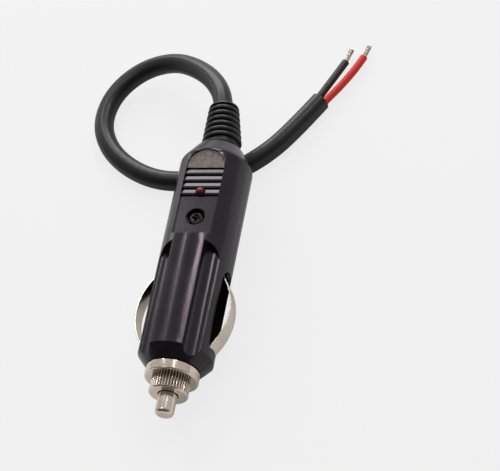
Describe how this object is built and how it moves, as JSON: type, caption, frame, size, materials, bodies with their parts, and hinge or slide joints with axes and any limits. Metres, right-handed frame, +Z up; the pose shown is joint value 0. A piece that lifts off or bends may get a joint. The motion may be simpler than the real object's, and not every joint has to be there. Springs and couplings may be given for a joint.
{
  "type": "cigarette lighter plug",
  "caption": "Fused plug for a car's lighter socket, with a sprung tip, bowed side contacts, a thumb grip with a lamp, and a tail of two-core cord with bare ends.",
  "frame": {"origin": "middle of the plug's footprint, on the table, without the cord", "axes": "+Y from the tip towards the cord, +Z up, +X to the right when the tip points at the viewer's feet"},
  "size_m": [0.0833, 0.1386, 0.0249],
  "materials": {
    "shell": "satin moulded black plastic",
    "screw_steel": "plated steel",
    "lamp_red": "tinted clear lens",
    "resistor": "lacquered",
    "brass": "machined",
    "nickel": "bright nickel plate",
    "contact_nickel": "bright nickel plated spring strip",
    "fuse_glass": "clear",
    "spring_steel": "bright wire",
    "tinned_wire": "tinned copper",
    "red_insulation": "satin",
    "black_insulation": "satin",
    "boot_rubber": "satin moulded",
    "cord_pvc": "satin extruded jacket"
  },
  "bodies": {
    "housing": {"upper_shell": "shell", "lower_shell": "shell", "housing_screw": "screw_steel", "indicator_lamp": "lamp_red", "lamp_resistor": "resistor", "thread_bush": "brass", "fuse_spring": "spring_steel", "rear_contact": "brass", "ground_washer": "brass", "strain_relief": "boot_rubber", "red_lead": "red_insulation", "black_lead": "black_insulation", "cord_jacket": "cord_pvc", "black_core": "black_insulation", "red_core": "red_insulation", "black_conductor": "tinned_wire", "red_conductor": "tinned_wire"},
    "collar": {"nose_ring": "nickel"},
    "cap": {"fuse_cap": "nickel"},
    "tip": {"tip_pin": "nickel", "fuse_front_cap": "nickel", "fuse_rear_cap": "nickel", "fuse_tube": "fuse_glass", "fuse_element": "tinned_wire"},
    "left_contact": {"left_spring_contact": "contact_nickel"},
    "right_contact": {"right_spring_contact": "contact_nickel"}
  },
  "joints": [
    {"name": "cap_travel", "type": "slide", "parent": "housing", "child": "collar", "axis": [0, -0.9979, -0.0645], "range_m": [0, 0.00225]},
    {"name": "cap_turn", "type": "hinge", "parent": "collar", "child": "cap", "pos_m": [0, -0.04074, 0.01006], "axis": [0, -0.9979, -0.0645], "range_deg": [0, 1081]},
    {"name": "tip_press", "type": "slide", "parent": "collar", "child": "tip", "axis": [0, 0.9979, 0.0645], "range_m": [0, 0.004], "stiffness_N_per_m": 600, "deforming": ["fuse_spring"]},
    {"name": "left_press", "type": "slide", "parent": "housing", "child": "left_contact", "axis": [1, 0, 0], "range_m": [0, 0.0028], "stiffness_N_per_m": 1500},
    {"name": "right_press", "type": "slide", "parent": "housing", "child": "right_contact", "axis": [-1, 0, 0], "range_m": [0, 0.0028], "stiffness_N_per_m": 1500}
  ],
  "couplings": [
    {"joint": "cap_turn", "follows": "cap_travel", "rad_per_m": 8377.6}
  ]
}
